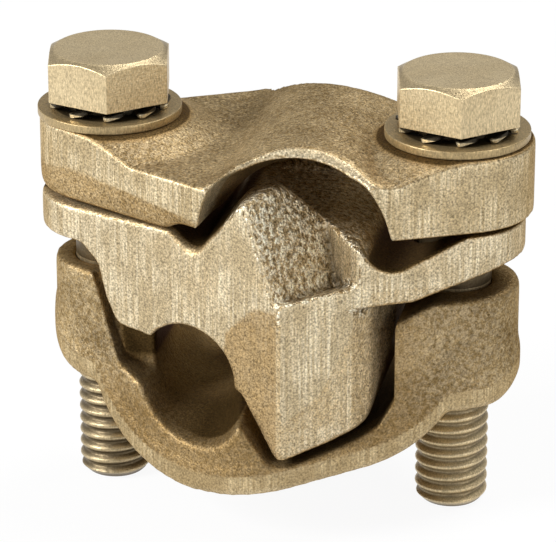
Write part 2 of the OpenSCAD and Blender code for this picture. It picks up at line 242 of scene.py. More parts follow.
@dataclass(frozen=True)
class BronzeCasting:
    """Sand-cast bronze with some faces ground on a belt.

    Cast skin is brown and sandy, with painted glints on its grains. Ground faces are paler, with fine
    belt lines along Z in patches. Faces that the castings turn to each other, hollows and crevices are
    painted with shade. Depths are in millimetres.
    """

    name: str
    cast_dark: Colour = tone(134, 112, 75)
    cast_light: Colour = tone(188, 165, 124)
    ground_dark: Colour = tone(164, 143, 104)
    ground_light: Colour = tone(224, 208, 174)
    # Colour of painted glints on grains, and of rubbed edges with painted highlights
    edge: Colour = tone(246, 234, 206)
    # Colour of pits, and of painted shade in crevices and deep gaps
    soot_and_shade: Colour = tone(58, 43, 20)
    # Colour of painted shade inside and between the castings
    dusk: Colour = tone(158, 130, 86)
    grazing: Colour = tone(188, 158, 110)
    metallic: float = 0.75
    sand: Noise = Noise((4.6, 4.6, 4.6), 2.0, 0.6)
    mottle: Noise = Noise((1.4, 1.4, 1.4), 3.0, 0.6)
    stain: Noise = Noise((0.13, 0.13, 0.13), 4.0, 0.6)
    patch: Noise = Noise((0.3, 0.3, 0.16), 2.0, 0.5)
    streak: Noise = Noise((4.2, 4.2, 0.11), 2.0, 0.55)
    grain_mm: float = 0.42
    grain_octaves: float = 3.0
    grain_rough: float = 0.6
    mottle_share: float = 0.4
    cast_span: Span = (0.34, 0.66)
    pit: float = 0.14
    core_pit: float = 0.32
    pit_span: Span = (0.5, 0.3)
    # Painted glints: bright sand grains that stand in for highlights
    glint: float = 0.12
    core_glint: float = 0.88
    glint_span: Span = (0.42, 0.58)
    streak_span: Span = (0.34, 0.68)
    patch_span: Span = (0.3, 0.62)
    belt_gain: float = 0.7
    belt_base: float = 0.2
    tarnish: Step = (0.5, 0.75, 0.35)
    tear: float = 0.3
    ground_span: Span = (0.32, 0.68)
    # Wear on ground edges, with painted highlights
    wear: Step = (0.66, 0.9, 0.4)
    # Painted shade in crevices, by a low edge mark
    crevice: Step = (0.45, 0.15, 0.6)
    # Share of painted shade in dusk brown, by the dark attribute
    dusk_share: float = 0.86
    # Painted shade that turns near black where the dark attribute is well over 1
    painted_shade: Step = (0.8, 1.25, 0.82)
    speck: float = 3.0
    ground_speck: float = -0.3
    speck_least: float = 0.2
    roughness: float = 0.44
    ground_rough: float = -0.08
    core_rough: float = -0.14
    sand_rough: float = 0.12
    grain_depth: float = 0.1
    core_depth: float = 0.5
    sand_depth: float = 0.06
    ground_flatness: float = 0.92
    fine_depth: float = 0.03
    belt_depth: float = 0.04

    def material(self) -> bpy.types.Material:
        """Builds the finish from the piece's ground, edge, dark and coarse attributes.

        The dark attribute marks painted shade. A high edge mark gives rubbed edges with painted highlights,
        and a low one painted shade in crevices.

        Each height for the bump is in millimetres and has a mean of 0, so that no step shows where one
        finish meets another.

        Returns:
            The material.
        """
        g = Graph(self.name)
        ground, edge, dark, coarse = map(g.attribute, ("ground", "edge", "dark", "coarse"))
        sand, stain, patch, streak = map(g.noise, (self.sand, self.stain, self.patch, self.streak))
        pitch = 1.0 / self.grain_mm
        grain = g.noise(Noise((pitch, pitch, pitch), self.grain_octaves, self.grain_rough))
        speckle = g.math("SUBTRACT", sand, NOISE_MEAN)

        # Cast skin, with painted glints on its grains
        cloud = g.line(g.noise(self.mottle), self.mottle_share, g.times(stain, 1 - self.mottle_share))
        skin = g.blend(g.ramp(cloud, *self.cast_span), self.cast_dark, self.cast_light)
        pits = g.times(g.ramp(grain, *self.pit_span), g.line(coarse, self.core_pit, self.pit))
        skin = g.blend(pits, skin, self.soot_and_shade)
        glints = g.times(g.ramp(grain, *self.glint_span), g.line(coarse, self.core_glint, self.glint))
        skin = g.blend(glints, skin, self.edge)

        # Ground faces, with a torn border
        lines = g.times(g.ramp(streak, *self.streak_span), g.ramp(patch, *self.patch_span))
        belt = g.blend(g.line(lines, self.belt_gain, self.belt_base), self.ground_dark, self.ground_light)
        belt = g.blend(g.ramp(stain, *self.tarnish), belt, self.cast_light)
        torn = g.line(grain, self.tear, g.line(patch, self.tear, -self.tear))
        share = g.ramp(g.math("ADD", ground, torn), *self.ground_span)
        colour = g.blend(share, skin, belt)

        # Wear on edges with painted highlights, painted shade in crevices and by the dark attribute, and
        # speckle
        wear_and_highlight = g.times(g.ramp(edge, *self.wear), g.times(share, grain))
        colour = g.blend(wear_and_highlight, colour, self.edge)
        # Painted shade in crevices, where the edge mark is low
        colour = g.blend(g.ramp(edge, *self.crevice), colour, self.soot_and_shade)
        # Painted shade: dusk brown by the dark attribute, then near black where it is well over 1
        colour = g.blend(g.times(dark, self.dusk_share), colour, self.dusk)
        colour = g.blend(g.ramp(dark, *self.painted_shade), colour, self.soot_and_shade)
        gain = g.line(speckle, g.line(share, self.ground_speck, self.speck), 1.0)
        colour = g.blend(1.0, colour, g.math("MAXIMUM", gain, self.speck_least), "MULTIPLY")
        g.set("Base Color", colour)
        g.set("Metallic", self.metallic)
        g.set("Specular Tint", self.grazing)

        # Roughness and relief
        rough = g.line(coarse, self.core_rough, g.line(share, self.ground_rough, self.roughness))
        g.set("Roughness", g.line(sand, self.sand_rough, rough))
        depth = g.line(coarse, self.core_depth, self.grain_depth)
        sandy = g.line(speckle, self.sand_depth, g.times(g.math("SUBTRACT", grain, NOISE_MEAN), depth))
        sandy = g.times(sandy, g.line(share, -self.ground_flatness, 1.0))
        lined = g.times(g.math("SUBTRACT", streak, NOISE_MEAN), self.belt_depth)
        fine = g.line(speckle, self.fine_depth, lined)
        g.bump(g.line(fine, share, sandy), 1.0)
        return g.material


@dataclass(frozen=True)
class SatinBronze:
    """Rolled or stamped bronze: smooth, warm and lightly scuffed."""

    name: str
    dark: Colour = tone(178, 154, 108)
    light: Colour = tone(232, 214, 176)
    # Colour of dull scuffs, and of painted shade where the edge mark is low
    soot_and_shade: Colour = tone(60, 46, 24)
    # Painted shade by a low edge mark: thread roots, shank, washer under the head, lock washer
    painted_shade: Step = (0.45, 0.0, 0.85)
    metallic: float = 0.7
    cloud: Noise = Noise((0.22, 0.22, 0.22), 5.0, 0.6)
    scuff: Noise = Noise((3.2, 3.2, 3.2), 4.0, 0.65)
    drag: Noise = Noise((1.1, 1.1, 7.0), 2.0, 0.5)
    sand: Noise = Noise((6.5, 6.5, 2.6), 2.0, 0.6)
    cloud_gain: float = 0.5
    cloud_base: float = 0.25
    bright: Step = (0.54, 0.74, 0.4)
    dull: Step = (0.46, 0.28, 0.3)
    speck: float = 1.6
    roughness: float = 0.26
    scuff_rough: float = 0.14
    scuff_depth: float = 0.04
    drag_share: float = 0.6

    def material(self) -> bpy.types.Material:
        """Builds the finish, with painted shade where the piece's own edge attribute is low.

        Returns:
            The material.
        """
        g = Graph(self.name)
        scuff, drag = g.noise(self.scuff), g.noise(self.drag)
        cloud = g.line(g.noise(self.cloud), self.cloud_gain, self.cloud_base)
        colour = g.blend(cloud, self.dark, self.light)
        colour = g.blend(g.ramp(scuff, *self.bright), colour, self.light)
        colour = g.blend(g.ramp(scuff, *self.dull), colour, self.soot_and_shade)
        speckle = g.math("SUBTRACT", g.noise(self.sand), NOISE_MEAN)
        colour = g.blend(1.0, colour, g.line(speckle, self.speck, 1.0), "MULTIPLY")
        # Painted shade where the edge mark is low
        colour = g.blend(g.ramp(g.attribute("edge"), *self.painted_shade), colour, self.soot_and_shade)
        g.set("Base Color", colour)
        g.set("Metallic", self.metallic)
        g.set("Roughness", g.line(g.math("ADD", scuff, drag), self.scuff_rough, self.roughness))
        g.bump(g.line(drag, self.drag_share, scuff), self.scuff_depth)
        return g.material


BOLT_BRONZE = SatinBronze("bolt_bronze")
WASHER_BRONZE = SatinBronze("washer_bronze", tone(146, 123, 82), tone(200, 178, 134))
# Lock washer: its near-black tone paints the shade under the bolt's head
TOOTH_BRONZE = SatinBronze(
    "tooth_bronze", tone(170, 148, 104), tone(244, 232, 200), tone(24, 18, 9), painted_shade=(0.45, 0.0, 0.98),
)


def put(name: str, points: Array, faces: Array, marks: dict[str, Array], angle: float = 0.0) -> Object:
    """Makes an object from arrays, with its own attributes, smooth but for its sharp edges.

    Args:
        name: Name of the piece.
        points: Points in metres, one row each.
        faces: Corners of the quads, one row each.
        marks: Attribute's name to one value for each point.
        angle: Degrees above which an edge is sharp.

    Returns:
        The new object, at the origin.
    """
    mesh = bpy.data.meshes.new(name)
    mesh.from_pydata(points.tolist(), [], faces.tolist())
    for mark, values in marks.items():
        mesh.attributes.new(mark, "FLOAT", "POINT").data.foreach_set("value", values.astype(np.float32))
    shell = bmesh.new()
    shell.from_mesh(mesh)
    bmesh.ops.remove_doubles(shell, verts=shell.verts, dist=PIECE_SEAM)
    bmesh.ops.dissolve_degenerate(shell, edges=shell.edges, dist=PIECE_SEAM)
    bmesh.ops.recalc_face_normals(shell, faces=shell.faces)
    shell.to_mesh(mesh)
    shell.free()
    mesh.validate()
    mesh.shade_smooth()
    mesh.set_sharp_from_angle(angle=math.radians(angle))
    piece = bpy.data.objects.new(name, mesh)
    bpy.context.scene.collection.objects.link(piece)
    return piece


def grid_faces(rows: int, columns: int, start: int = 0) -> Array:
    """Quads of a grid of points that is stored row by row and whose last column joins the first.

    Args:
        rows: Number of rows.
        columns: Number of points in a row.
        start: Number of the grid's first point.

    Returns:
        Four corners for each quad.
    """
    row = np.arange(rows - 1)[:, None] * columns
    left = np.arange(columns)[None, :]
    right = (left + 1) % columns
    corners = [row + left, row + right, row + columns + right, row + columns + left]
    return start + np.stack(corners, -1).reshape(-1, 4)


def around(columns: int) -> Array:
    """Even angles of one turn in radians, from 0."""
    return np.linspace(0, 2 * math.pi, columns, endpoint=False)


def turned(x: float, radii: Array, heights: Array, angle: Array) -> Array:
    """Points of a surface that goes round an upright axis.

    Args:
        x: Place of the axis along X in millimetres.
        radii: Radii in millimetres, one row for each height, with one column or one for each angle.
        heights: Heights in millimetres, in rows and columns like the radii.
        angle: Angles in radians.

    Returns:
        Points in metres, row by row.
    """
    reach = radii * np.ones_like(angle)
    places = [x + reach * np.cos(angle), reach * np.sin(angle), heights * np.ones_like(reach)]
    return np.stack(places, -1).reshape(-1, 3) * MM


def rise(value: Array, start: float, end: float) -> Array:
    """Share that goes in a straight line from 0 at the start to 1 at the end, which may be the lower."""
    return np.clip((value - start) / (end - start), 0, 1)


class Piece:
    """A piece that takes the place of one CAD node."""

    node: str
    finish: BronzeCasting | SatinBronze

    def build(self) -> Object:
        """Builds the bare piece."""
        raise NotImplementedError

    def dress(self, body: str, slot: str) -> None:
        """Builds the piece, gives it its finish and puts it in place of its node.

        Args:
            body: CAD body that carries it.
            slot: Material slot of the record; not used.
        """
        piece = self.build()
        piece.data.materials.clear()
        piece.data.materials.append(self.finish.material())
        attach(piece, body)
        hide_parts(self.node)
        log.info("%s: %d faces on body %s", piece.name, len(piece.data.polygons), body)


@dataclass(frozen=True)
class Skin:
    """Points of a casting in millimetres, with their normals and depth behind the flanges' outline."""

    x: Array
    y: Array
    z: Array
    across: Array
    out: Array
    up: Array
    inset: Array

    @classmethod
    def of(cls, points: Array, normals: Array) -> "Skin":
        """Takes the columns apart and works out the depth behind the two slanted sides of the outline.

        Args:
            points: Points in metres.
            normals: Their normals.

        Returns:
            The skin.
        """
        nose_x, nose_y, slant = 11.0, 17.0, 0.53
        x, y, z = (points / MM).T
        inset = nose_y - slant * np.abs(x - nose_x) - np.abs(y)
        return cls(x, y, z, *normals.T, inset)


@dataclass
class Casting(Piece):
    """CAD shape with softened edges and its finishes marked on its points. Sizes are in millimetres."""

    node: str
    finish: BronzeCasting
    cell_mm: float
    soften: int
    edge_reach: int = 30
    edge_blur: int = 8
    edge_gain: float = 1.9
    round_steps: int = 60
    slices_per_mm: int = 2
    sharp_angle: float = 180.0

    def ground(self, skin: Skin) -> Array:
        """Share of grinding, from 0 on cast skin to 1 on a ground face."""
        return np.zeros_like(skin.x)

    def dark(self, skin: Skin) -> Array:
        """Share of painted shade, from 0 in the open to 1 or more well inside."""
        return np.zeros_like(skin.x)

    def coarse(self, skin: Skin) -> Array:
        """Share of coarse sand marks, from 0 on a plain skin to 1 in a sand-cored hollow."""
        return np.zeros_like(skin.x)

    def rounded(self, skin: Skin) -> Array:
        """Share of extra rounding, from 0 on a crisp edge to 1 on a fettled one."""
        return np.zeros_like(skin.x)

    def shaped(self, skin: Skin) -> Array:
        """Shift of each point in millimetres, where the casting is fuller than its solid."""
        return np.zeros((len(skin.x), 3))

    def least(self, skin: Skin, values: Array) -> Array:
        """Least value in the thin slice along X that each point lies in.

        Args:
            skin: The skin.
            values: One value for each point.

        Returns:
            The slice's least value at each point.
        """
        slices = np.round((skin.x - skin.x.min()) * self.slices_per_mm).astype(int)
        least = np.full(slices.max() + 1, np.inf)
        np.minimum.at(least, slices, values)
        return least[slices]

    def mould(self) -> tuple[Array, Array]:
        """An even quad skin over a merged copy of the CAD node.

        Returns:
            Points in metres and the quads' corners.
        """
        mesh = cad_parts[self.node].data.copy()
        merged = bmesh.new()
        merged.from_mesh(mesh)
        bmesh.ops.remove_doubles(merged, verts=merged.verts, dist=NODE_SEAM)
        merged.to_mesh(mesh)
        merged.free()
        mould = bpy.data.objects.new(self.node + "_mould", mesh)
        bpy.context.scene.collection.objects.link(mould)
        cells = mould.modifiers.new("cells", "REMESH")
        cells.mode = "VOXEL"
        cells.voxel_size = self.cell_mm * MM
        solid = bpy.data.meshes.new_from_object(mould.evaluated_get(bpy.context.evaluated_depsgraph_get()))
        points = np.zeros(len(solid.vertices) * 3)
        solid.vertices.foreach_get("co", points)
        corners = np.zeros(len(solid.loops), int)
        solid.loops.foreach_get("vertex_index", corners)
        bpy.data.objects.remove(mould)
        bpy.data.meshes.remove(mesh)
        bpy.data.meshes.remove(solid)
        return points.reshape(-1, 3), corners.reshape(-1, 4)

    @staticmethod
    def relax(points: Array, quads: Array, steps: int) -> Array:
        """Moves each point halfway to the mean of its neighbours, a number of times.

        Args:
            points: Points, one row each.
            quads: The quads' corners.
            steps: Number of passes.

        Returns:
            The moved points.
        """
        pairs = np.concatenate([quads[:, [i, (i + 1) % 4]] for i in range(4)])
        count = len(points)
        degree = np.bincount(pairs[:, 0], minlength=count)[:, None]
        moved = points.copy()
        for _ in range(steps):
            sums = [np.bincount(pairs[:, 0], column[pairs[:, 1]], count) for column in moved.T]
            moved = 0.5 * moved + 0.5 * np.stack(sums, 1) / degree
        return moved

    @staticmethod
    def normals(points: Array, quads: Array) -> Array:
        """Unit normals of the points: the sum of the quads' cross products at each.

        Args:
            points: Points, one row each.
            quads: The quads' corners.

        Returns:
            One normal for each point.
        """
        least_length = 1e-12
        first = points[quads[:, 2]] - points[quads[:, 0]]
        second = points[quads[:, 3]] - points[quads[:, 1]]
        across = np.repeat(np.cross(first, second), 4, axis=0)
        total = np.stack([np.bincount(quads.ravel(), column, len(points)) for column in across.T], 1)
        return total / np.maximum(np.linalg.norm(total, axis=1, keepdims=True), least_length)

    def build(self) -> Object:
        """Softens the skin and stores its edge mark and finishes on the points.

        The edge mark is the height of a point over a broadly relaxed copy of the skin, so that it is high
        on an edge, where the finish paints wear and highlights, and low in a crevice, where it paints
        shade.

        Returns:
            The finished piece.
        """
        points, quads = self.mould()
        soft = self.relax(points, quads, self.soften)
        soft = soft + self.shaped(Skin.of(soft, self.normals(soft, quads))) * MM
        share = self.rounded(Skin.of(soft, self.normals(soft, quads)))[:, None]
        soft = soft + share * (self.relax(soft, quads, self.round_steps) - soft)
        normals = self.normals(soft, quads)
        broad = self.relax(soft, quads, self.edge_reach)
        height = np.sum((soft - broad) * normals, axis=1, keepdims=True) / MM
        # Edge mark: high on edges for wear with painted highlights, low in crevices for painted shade
        wear = self.relax(height, quads, self.edge_blur)[:, 0]
        skin = Skin.of(soft, normals)
        marks = {
            "edge": np.clip(FLAT_MARK + wear * self.edge_gain, 0, 1),
            "ground": self.ground(skin), "dark": self.dark(skin), "coarse": self.coarse(skin),
        }
        return put(self.node + "_casting", soft, quads, marks, self.sharp_angle)


@dataclass
class CapCasting(Casting):
    """Top casting: ground round its sides and its mouths, cast on top and on its skirt, painted with shade
    below.
    """

    arch_x: float = 11.9
    arch_z: float = 14.0
    facing: Span = (0.15, 0.4)
    wall_r: float = 10.8
    hump_r: float = 13.0
    hump_skin: float = 0.15
    lip_r: float = 10.3
    lip_draw: float = 0.75
    lip_fade: float = 0.35
    lip_depth: float = 3.0
    lip_ends: Span = (7.5, 5.5)
    lip_half: float = 10.5
    lip_up: float = 0.766
    lip_out: float = 0.63
    lip_slope: Span = (0.93, 0.98)
    mouth_inset: Span = (1.8, 1.2)
    arch_inset: Span = (1.4, 2.6)
    arch_dark: float = 0.75
    skirt_x: tuple[float, ...] = (-19.0, -14.0, -6.0, 4.0, 8.0)
    skirt_z: tuple[float, ...] = (20.4, 21.6, 20.8, 19.4, 17.0)
    skirt_fade: Span = (-0.45, 0.45)
    skirt_share: float = 0.15
    skirt_dark: float = 0.5
    round_z: Span = (20.0, 18.4)
    round_x: Span = (5.0, 2.0)
    seat_reach: Span = (1.4, 0.7)
    seat_up: Span = (0.6, 0.9)
    seat_dark: float = 1.3

    def inward(self, skin: Skin) -> Array:
        """Share by which a point faces the arch's middle line, as the wall of the arch does."""
        x, z = skin.x - self.arch_x, skin.z - self.arch_z
        return rise(-(x * skin.across + z * skin.up) / np.hypot(x, z), *self.facing)

    def shaped(self, skin: Skin) -> Array:
        """Draws the lip of each mouth forwards and down along its sloped face.

        The shift is full at the mouth's inner edge. It fades in a straight line to nothing at the hump's
        outer face, well inside the arch and towards the ends of the mouth.

        Args:
            skin: The skin.

        Returns:
            One shift in millimetres for each point.
        """
        x = np.abs(skin.x - self.arch_x)
        reach = np.hypot(x, skin.z - self.arch_z)
        side = np.abs(skin.y)
        edge = -self.least(skin, np.where(reach < self.hump_r - self.hump_skin, -side, 0.0))
        outer = rise(reach, self.hump_r, self.hump_r - self.lip_fade)
        share = outer * rise(edge - side, self.lip_depth, 0.0) * rise(x, *self.lip_ends)
        slope = [np.zeros_like(x), np.sign(skin.y) * self.lip_up, np.full_like(x, -self.lip_out)]
        return self.lip_draw * share[:, None] * np.stack(slope, 1)

    def above_skirt(self, skin: Skin) -> Array:
        """Share by which a point lies above the skirt's upper edge."""
        return rise(skin.z - np.interp(skin.x, self.skirt_x, self.skirt_z), *self.skirt_fade)

    def mouth(self, skin: Skin) -> Array:
        """Share of the strip along each mouth of the arch."""
        return self.inward(skin) * rise(skin.inset, *self.mouth_inset)

    def seats(self, skin: Skin) -> Array:
        """Share of the painted shadow along the rim of each flat washer, on the face that it lies on.

        Args:
            skin: The skin.

        Returns:
            One share for each point.
        """
        away = np.full_like(skin.x, np.inf)
        for side in Side:
            low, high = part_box("flat_washer_" + side.value)
            middle, rim = (low.x + high.x) / 2 / MM, (high.x - low.x) / 2 / MM
            away = np.minimum(away, np.abs(np.hypot(skin.x - middle, skin.y) - rim))
        return rise(away, *self.seat_reach) * rise(skin.up, *self.seat_up)

    def ground(self, skin: Skin) -> Array:
        """Ground on the upright sides above the skirt, on the sloped lip and in the mouths.

        Args:
            skin: The skin.

        Returns:
            One share for each point.
        """
        reach = np.hypot(skin.x - self.arch_x, skin.z - self.arch_z)
        slope = skin.up * self.lip_up + np.abs(skin.out) * self.lip_out
        near = (reach > self.lip_r) & (np.abs(skin.x - self.arch_x) < self.lip_half)
        above = np.maximum(self.above_skirt(skin), self.skirt_share)
        side = rise(np.abs(skin.up), *UPRIGHT) * (reach > self.wall_r) * above
        return np.max([side, rise(slope, *self.lip_slope) * near, self.mouth(skin)], axis=0)

    def dark(self, skin: Skin) -> Array:
        """Painted shade below, inside the arch but not in its mouths, and about the washers.

        Args:
            skin: The skin.

        Returns:
            One share for each point.
        """
        arch = self.inward(skin) * rise(skin.inset, *self.arch_inset)
        below = np.maximum(rise(-skin.up, *LEVEL), self.skirt_dark * (1 - self.above_skirt(skin)))
        below = below * (1 - self.mouth(skin))
        return np.max([below, self.arch_dark * arch, self.seat_dark * self.seats(skin)], axis=0)

    def rounded(self, skin: Skin) -> Array:
        """Rounded along the skirt's lower edge on the left."""
        return rise(skin.z, *self.round_z) * rise(skin.x, *self.round_x)


@dataclass
class SaddleCasting(Casting):
    """Middle casting: ground on its long sides and ends, with a sand-cored hollow in its ridge."""

    side_across: float = 0.46
    side_out: float = 0.888
    side_slope: Span = (0.9, 0.96)
    side_y: float = 6.0
    middle_x: float = 7.9
    end_reach: float = 20.0
    tab_x: tuple[float, ...] = (0.0, 4.0, 4.6, 8.0, 10.8, 11.2, 15.0, 20.0)
    tab_z: tuple[float, ...] = (-9.0, -9.0, 7.0, 10.6, 10.8, -2.0, 1.0, 12.0)
    tab_fade: Span = (-0.3, 0.3)
    below_share: float = 0.5
    flank_x: float = 7.6
    flank_half: float = 3.2
    flank_across: float = -0.2
    flank_dark: float = 0.8
    level_inset: Span = (-0.9, 0.1)
    level_up: Span = (0.15, 0.65)
    level_dark: float = 1.2
    ridge_x: float = 12.0
    ridge_half: Span = (7.5, 6.5)
    ridge_z: Span = (12.0, 14.0)
    ridge_pale: float = 0.55
    crest_half: float = 7.5
    crest_z: Span = (15.5, 17.5)
    crest_inset: Span = (5.0, 2.5)
    ledge_half: float = 8.2
    ledge_z: float = 10.5
    ledge_reach: float = 2.5
    ledge_inset: Span = (6.0, 4.0)
    hollow_half: Span = (7.8, 7.0)
    hollow_z: Span = (8.6, 9.6)
    notch_x: float = 0.2
    notch_z: float = 15.0
    notch_reach: float = 1.4

    def above_tab(self, skin: Skin) -> Array:
        """Share by which a point lies above the lower edge of the ground tab."""
        return rise(skin.z - np.interp(skin.x, self.tab_x, self.tab_z), *self.tab_fade)

    def ground(self, skin: Skin) -> Array:
        """Ground on the upright outer sides and ends, and less below the tab's lower edge.

        Args:
            skin: The skin.

        Returns:
            One share for each point.
        """
        side = np.abs(skin.across * self.side_across) + np.abs(skin.out * self.side_out)
        outer = rise(side, *self.side_slope) * (np.abs(skin.y) > self.side_y)
        end = np.abs(skin.x - self.middle_x) > self.end_reach
        above = np.maximum(self.above_tab(skin), self.below_share)
        return rise(np.abs(skin.up), *UPRIGHT) * np.maximum(outer, end) * above

    def dark(self, skin: Skin) -> Array:
        """Painted shade on the level faces under the cap and over the base, and on the flank below the tab.

        The crest of the ridge and the ledge under its hollow get none, and the rest of the ridge gets less
        than the wings.

        Args:
            skin: The skin.

        Returns:
            One share for each point.
        """
        beside = np.abs(skin.x - self.ridge_x)
        crest = rise(skin.z, *self.crest_z) * (beside < self.crest_half)
        crest = crest * rise(skin.inset, *self.crest_inset)
        ledge = (beside < self.ledge_half) & (np.abs(skin.z - self.ledge_z) < self.ledge_reach)
        bright = np.maximum(crest, ledge * rise(skin.inset, *self.ledge_inset))
        level = rise(skin.inset, *self.level_inset) * rise(np.abs(skin.up), *self.level_up) * (1 - bright)
        flank = (np.abs(skin.x - self.flank_x) < self.flank_half) & (skin.across < self.flank_across)
        ridge = rise(beside, *self.ridge_half) * rise(skin.z, *self.ridge_z)
        level = (self.level_dark - self.ridge_pale * ridge) * level
        return np.maximum(level, self.flank_dark * (1 - self.above_tab(skin)) * flank)

    def coarse(self, skin: Skin) -> Array:
        """Coarse in the ridge's hollow, where the skin is as cast."""
        window = rise(np.abs(skin.x - self.ridge_x), *self.hollow_half) * rise(skin.z, *self.hollow_z)
        return window * (1 - self.ground(skin))

    def rounded(self, skin: Skin) -> Array:
        """Rounded about the bottom of the left notch, by a bell curve of the distance."""
        away = np.hypot(skin.x - self.notch_x, skin.z - self.notch_z) / self.notch_reach
        return np.exp(-away**2 / 2)


@dataclass
class BaseCasting(Casting):
    """Bottom casting: cast all over, with a ground band along its lower edge and painted shade in its
    grooves.
    """

    band_h: Span = (2.6, 2.2)
    band_up: Span = (0.97, 0.85)
    groove_r: Span = (7.2, 6.6)
    groove_inset: Span = (0.8, 2.6)
    groove_dark: float = 0.65
    lit_x: Span = (-5.0, 2.0)
    lit_inset: Span = (18.0, 8.0)
    lit_dark: float = 0.55
    wall_x: float = -3.5
    wall_half: Span = (6.0, 5.0)
    wall_inset: Span = (0.0, 1.0)
    wall_top: Span = (8.6, 7.6)
    wall_foot: Span = (-2.0, 0.5)
    wall_dark: float = 1.3
    pocket_x: float = 13.0
    pocket_half: Span = (12.0, 11.0)
    pocket_left: float = 3.0
    pocket_z: float = -7.5
    pocket_inset: Span = (0.8, 4.0)
    nook_x: Span = (26.5, 22.5)
    nook_dark: float = 0.6
    top_dark: float = 0.6
    belly_z: Span = (0.0, -4.0)
    belly_dark: float = 0.75

    def ground(self, skin: Skin) -> Array:
        """Ground up to a height over the lowest point of each slice."""
        band = rise(skin.z - self.least(skin, skin.z), *self.band_h)
        return band * rise(np.abs(skin.up), *self.band_up)

    def dark(self, skin: Skin) -> Array:
        """Painted shade in the lower groove, on the wall to its left and about the pocket.

        The upper faces, the belly and the nook at the right of the pocket get a lighter painted shade.

        Args:
            skin: The skin.

        Returns:
            One share for each point.
        """
        inset = -self.least(skin, -np.abs(skin.y)) - np.abs(skin.y)
        groove = rise(np.hypot(skin.x, skin.z), *self.groove_r) * rise(inset, *self.groove_inset)
        # More painted shade on the groove's right wall, which the key lamp lights
        lit = rise(skin.x, *self.lit_x) * rise(inset, *self.lit_inset)
        groove = groove * (self.groove_dark + self.lit_dark * lit)
        wall = rise(np.abs(skin.x - self.wall_x), *self.wall_half) * rise(skin.inset, *self.wall_inset)
        wall = wall * rise(skin.z, *self.wall_top) * rise(skin.z, *self.wall_foot)
        pocket = rise(np.abs(skin.x - self.pocket_x), *self.pocket_half) * (skin.x > self.pocket_left)
        pocket = pocket * (skin.z > self.pocket_z) * rise(skin.inset, *self.pocket_inset)
        cast = 1 - self.ground(skin)
        nook = rise(skin.x, *self.nook_x) * (skin.x > self.pocket_x) * cast
        belly = rise(skin.z, *self.belly_z) * cast
        # Lighter painted shade on the upper faces and the belly
        dull = np.maximum(self.top_dark * rise(skin.up, *LEVEL), self.belly_dark * belly)
        return np.max([groove, self.wall_dark * wall, pocket, self.nook_dark * nook, dull], axis=0)


